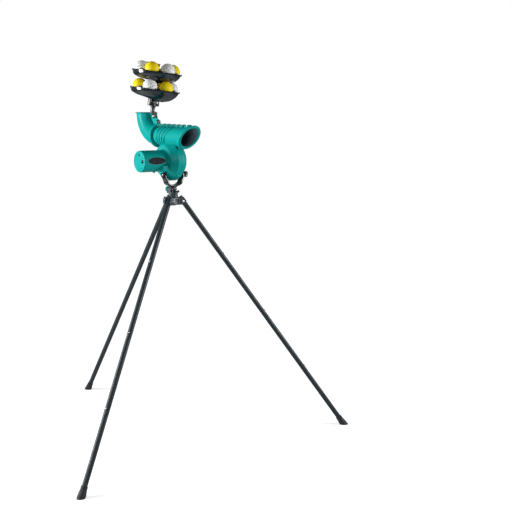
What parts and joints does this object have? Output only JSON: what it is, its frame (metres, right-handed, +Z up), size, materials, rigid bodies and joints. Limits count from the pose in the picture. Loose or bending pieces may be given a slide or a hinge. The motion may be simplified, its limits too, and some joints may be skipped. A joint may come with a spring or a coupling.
{
  "type": "cricket bowling machine",
  "caption": "Single-wheel cricket bowling machine on a folding three-leg stand, with a tilting head and a two-tier carousel that feeds balls into its barrel.",
  "frame": {"origin": "centre of the stand's footprint, on the ground", "axes": "+Z up, +X the way the balls leave, -Y the side of the drive motor"},
  "size_m": [1.3565, 1.558, 1.823],
  "materials": {
    "green_plastic": "satin moulded",
    "black_plastic": "glossy moulded",
    "slate_enamel": "semi-gloss enamel",
    "grey_casting": "satin enamel on a casting",
    "bright_steel": "zinc plated",
    "boot_rubber": "matte",
    "wheel_urethane": "matte, slightly dished",
    "white_ball": "smooth moulded",
    "yellow_ball": "smooth moulded"
  },
  "bodies": {
    "tripod": {"tripod_hub": "grey_casting", "pan_spindle": "bright_steel", "rear_leg_bolt": "bright_steel", "left_leg_bolt": "bright_steel", "right_leg_bolt": "bright_steel"},
    "rear_leg": {"rear_leg_section_1": "slate_enamel", "rear_leg_section_2": "slate_enamel", "rear_leg_section_3": "slate_enamel", "rear_leg_section_4": "slate_enamel", "rear_leg_boot": "boot_rubber"},
    "left_leg": {"left_leg_section_1": "slate_enamel", "left_leg_section_2": "slate_enamel", "left_leg_section_3": "slate_enamel", "left_leg_section_4": "slate_enamel", "left_leg_boot": "boot_rubber"},
    "right_leg": {"right_leg_section_1": "slate_enamel", "right_leg_section_2": "slate_enamel", "right_leg_section_3": "slate_enamel", "right_leg_section_4": "slate_enamel", "right_leg_boot": "boot_rubber"},
    "swivel": {"swivel_base": "grey_casting", "roll_pin": "bright_steel"},
    "roll_clamp_lever": {"roll_clamp_lever": "black_plastic"},
    "roll_lock_knob": {"roll_lock_knob": "green_plastic"},
    "yoke": {"yoke_fork": "black_plastic"},
    "head": {"left_shell": "green_plastic", "right_shell": "green_plastic", "motor_case": "green_plastic", "motor_end_cap": "green_plastic", "drive_motor": "bright_steel", "power_socket": "black_plastic", "pressure_pad": "wheel_urethane"},
    "right_tilt_knob": {"right_tilt_knob": "black_plastic"},
    "left_tilt_knob": {"left_tilt_knob": "black_plastic"},
    "toggle": {"toggle_lever": "bright_steel"},
    "launch_wheel": {"wheel_hub": "bright_steel", "wheel_tyre": "wheel_urethane", "drive_shaft": "bright_steel"},
    "elbow": {"feed_elbow": "green_plastic", "feeder_foot_bolt": "bright_steel"},
    "elbow_lock_screw": {"elbow_lock_screw": "black_plastic"},
    "feeder": {"feeder_post": "black_plastic", "feeder_gearbox": "black_plastic", "lower_tray": "black_plastic", "upper_tray": "black_plastic", "tray_column": "black_plastic"},
    "carousel": {"lower_rotor": "black_plastic", "upper_rotor": "black_plastic", "carousel_shaft": "bright_steel", "carousel_cap": "black_plastic", "lower_white_ball_1": "white_ball", "lower_white_ball_2": "white_ball", "lower_yellow_ball_1": "yellow_ball", "lower_yellow_ball_2": "yellow_ball", "lower_yellow_ball_3": "yellow_ball", "upper_white_ball_1": "white_ball", "upper_white_ball_2": "white_ball", "upper_yellow_ball_1": "yellow_ball", "upper_yellow_ball_2": "yellow_ball", "upper_yellow_ball_3": "yellow_ball"}
  },
  "joints": [
    {"name": "rear_leg_fold", "type": "hinge", "parent": "tripod", "child": "rear_leg", "pos_m": [0.1735, 0, 1.159], "axis": [0, -1, 0], "range_deg": [0, 35.5]},
    {"name": "left_leg_fold", "type": "hinge", "parent": "tripod", "child": "left_leg", "pos_m": [0.241, 0.03897, 1.159], "axis": [-0.866, 0.5, 0], "range_deg": [0, 35.5]},
    {"name": "right_leg_fold", "type": "hinge", "parent": "tripod", "child": "right_leg", "pos_m": [0.241, -0.03897, 1.159], "axis": [0.866, 0.5, 0], "range_deg": [0, 35.5]},
    {"name": "head_pan", "type": "hinge", "parent": "tripod", "child": "swivel", "pos_m": [0.2185, 0, 1.2], "axis": [0, 0, 1], "continuous": true},
    {"name": "roll_clamp_turn", "type": "hinge", "parent": "swivel", "child": "roll_clamp_lever", "pos_m": [0.2445, 0, 1.2115], "axis": [1, 0, 0], "range_deg": [-90, 90]},
    {"name": "roll_lock_turn", "type": "hinge", "parent": "swivel", "child": "roll_lock_knob", "pos_m": [0.1735, 0, 1.2115], "axis": [1, 0, 0], "continuous": true},
    {"name": "head_roll", "type": "hinge", "parent": "swivel", "child": "yoke", "pos_m": [0.2185, 0, 1.2115], "axis": [1, 0, 0], "range_deg": [-25, 25]},
    {"name": "head_tilt", "type": "hinge", "parent": "yoke", "child": "head", "pos_m": [0.2185, 0, 1.284], "axis": [0, 1, 0], "range_deg": [-20, 20]},
    {"name": "right_tilt_knob_turn", "type": "hinge", "parent": "head", "child": "right_tilt_knob", "pos_m": [0.2185, -0.064, 1.284], "axis": [0, -1, 0], "continuous": true},
    {"name": "left_tilt_knob_turn", "type": "hinge", "parent": "head", "child": "left_tilt_knob", "pos_m": [0.2185, 0.069, 1.284], "axis": [0, 1, 0], "continuous": true},
    {"name": "toggle_flip", "type": "hinge", "parent": "head", "child": "toggle", "pos_m": [0.1955, -0.095, 1.303], "axis": [1, 0, 0], "range_deg": [-12, 12]},
    {"name": "launch_wheel_spin", "type": "hinge", "parent": "head", "child": "launch_wheel", "pos_m": [0.1955, 0, 1.35], "axis": [0, 1, 0], "continuous": true},
    {"name": "elbow_swivel", "type": "hinge", "parent": "head", "child": "elbow", "pos_m": [0.0985, 0, 1.465], "axis": [1, 0, 0], "range_deg": [-30, 30]},
    {"name": "elbow_lock_turn", "type": "hinge", "parent": "elbow", "child": "elbow_lock_screw", "pos_m": [0.1015, 0, 1.5318], "axis": [0, 1, 0], "continuous": true},
    {"name": "feeder_level", "type": "hinge", "parent": "elbow", "child": "feeder", "pos_m": [0.0625, 0, 1.558], "axis": [0, 1, 0], "range_deg": [-12, 12]},
    {"name": "carousel_turn", "type": "hinge", "parent": "feeder", "child": "carousel", "pos_m": [0.0575, 0, 1.6585], "axis": [0.0699, 0.0998, 0.9925], "continuous": true}
  ]
}
